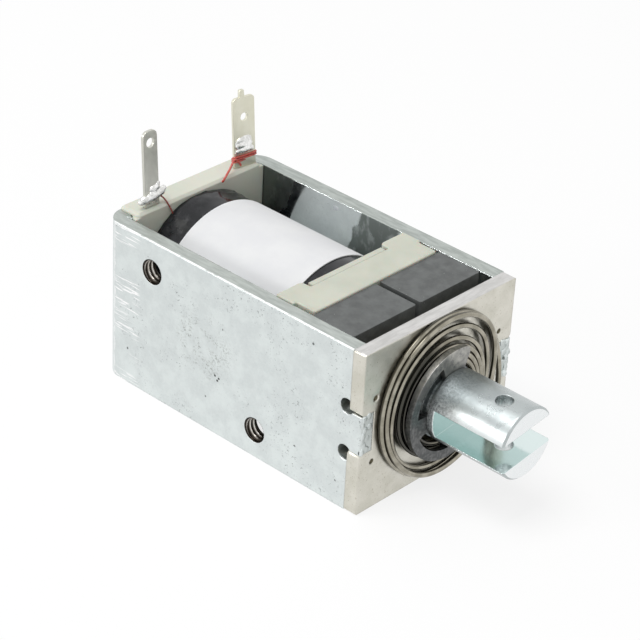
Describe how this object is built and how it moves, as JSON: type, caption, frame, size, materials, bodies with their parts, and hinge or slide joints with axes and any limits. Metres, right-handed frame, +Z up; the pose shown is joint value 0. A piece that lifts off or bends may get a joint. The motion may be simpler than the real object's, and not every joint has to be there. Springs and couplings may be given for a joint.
{
  "type": "latching solenoid",
  "caption": "Open-frame latching solenoid: coil, holding magnets and a forked plunger with a conical return spring.",
  "frame": {"origin": "on the mounting base, midway between the rivet head at the rear and the end of the plunger's fork, latched", "axes": "+X along the plunger towards its fork, +Y from the side with tapped holes to the plain side, +Z up towards the terminals"},
  "size_m": [0.0698, 0.032, 0.0397],
  "materials": {
    "zinc_steel": "bright zinc plate over mild steel, lightly scratched",
    "plate_steel": "warm-toned zinc plate over mild steel",
    "plunger_steel": "zinc plated turned steel",
    "ring_steel": "dark phosphated spring steel",
    "spring_steel": "bright drawn spring wire",
    "nylon": "natural nylon, slightly translucent",
    "magnet_ferrite": "ground dark grey ferrite",
    "black_tape": "glossy black film tape",
    "white_wrap": "matt white paper wrap, bare",
    "copper_wire": "enamelled copper winding",
    "red_enamel": "red enamelled copper wire",
    "tinned_brass": "tin plated brass",
    "solder_tin": "bright solder",
    "tube_brass": "drawn brass",
    "core_steel": "zinc plated steel, riveted over"
  },
  "bodies": {
    "frame": {"frame_yoke": "zinc_steel", "front_plate": "plate_steel", "return_spring": "spring_steel", "bobbin": "nylon", "magnet_holder": "nylon", "magnet_near": "magnet_ferrite", "magnet_far": "magnet_ferrite", "outer_tape": "black_tape", "coil_wrap": "white_wrap", "coil_winding": "copper_wire", "lead_near": "red_enamel", "lead_far": "red_enamel", "terminal_near": "tinned_brass", "terminal_far": "tinned_brass", "solder_near": "solder_tin", "solder_far": "solder_tin", "guide_tube": "tube_brass", "fixed_core": "core_steel"},
    "slider": {"retaining_ring": "ring_steel"},
    "plunger": {"plunger": "plunger_steel"}
  },
  "joints": [
    {"name": "plunger_slide", "type": "slide", "parent": "frame", "child": "slider", "axis": [1, 0, 0], "range_m": [0, 0.012], "stiffness_N_per_m": 175, "springref_m": 0.012, "deforming": ["return_spring"]},
    {"name": "plunger_spin", "type": "hinge", "parent": "slider", "child": "plunger", "pos_m": [0.0308, 0, 0.01325], "axis": [1, 0, 0], "continuous": true}
  ]
}
